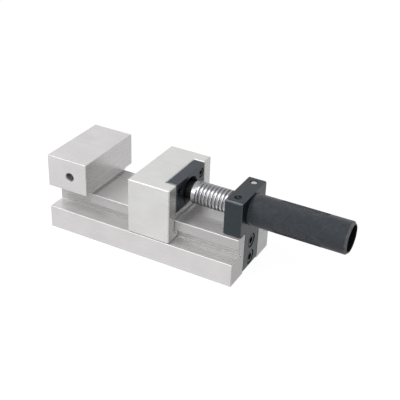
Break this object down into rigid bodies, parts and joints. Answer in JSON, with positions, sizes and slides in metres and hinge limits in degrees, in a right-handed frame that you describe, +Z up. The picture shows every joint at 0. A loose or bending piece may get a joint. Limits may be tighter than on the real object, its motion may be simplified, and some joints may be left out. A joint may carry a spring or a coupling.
{
  "type": "toolmakers vise",
  "caption": "Small precision vise with a T-rail body, fixed jaw, hooked sliding jaw and a lead screw that a hollow rotating handle draws in.",
  "frame": {"origin": "middle of the body's flat underside, on the ground", "axes": "+X along the lead screw from the fixed jaw to the handle, +Y across the jaws, +Z up"},
  "size_m": [0.1833, 0.05, 0.05],
  "materials": {
    "ground_steel": "surface ground, fine straight grain",
    "ground_jaw_steel": "surface ground, fine straight grain",
    "bright_screw": "bright turned thread",
    "keeper_black": "black oxide, satin",
    "bracket_black": "black oxide, satin",
    "handle_black": "black oxide, matte",
    "screw_black": "black oxide",
    "pin_steel": "hardened and ground"
  },
  "bodies": {
    "base": {"vise_body": "ground_steel", "end_bracket": "bracket_black", "bracket_screw_lower": "screw_black", "bracket_screw_upper": "screw_black", "retaining_pin_near": "pin_steel", "retaining_pin_far": "pin_steel"},
    "jaw": {"movable_jaw": "ground_jaw_steel", "keeper_plate": "keeper_black", "keeper_screw_near": "screw_black", "keeper_screw_far": "screw_black", "lead_screw": "bright_screw"},
    "handle": {"handle_sleeve": "handle_black"}
  },
  "joints": [
    {"name": "handle_spin", "type": "hinge", "parent": "base", "child": "handle", "pos_m": [0.057, 0, 0.039], "axis": [1, 0, 0], "range_deg": [-4500, 4620]},
    {"name": "jaw_slide", "type": "slide", "parent": "base", "child": "jaw", "axis": [1, 0, 0], "range_m": [-0.0287, 0.0295]}
  ],
  "couplings": [
    {"joint": "handle_spin", "follows": "jaw_slide", "rad_per_m": 2731.8}
  ]
}
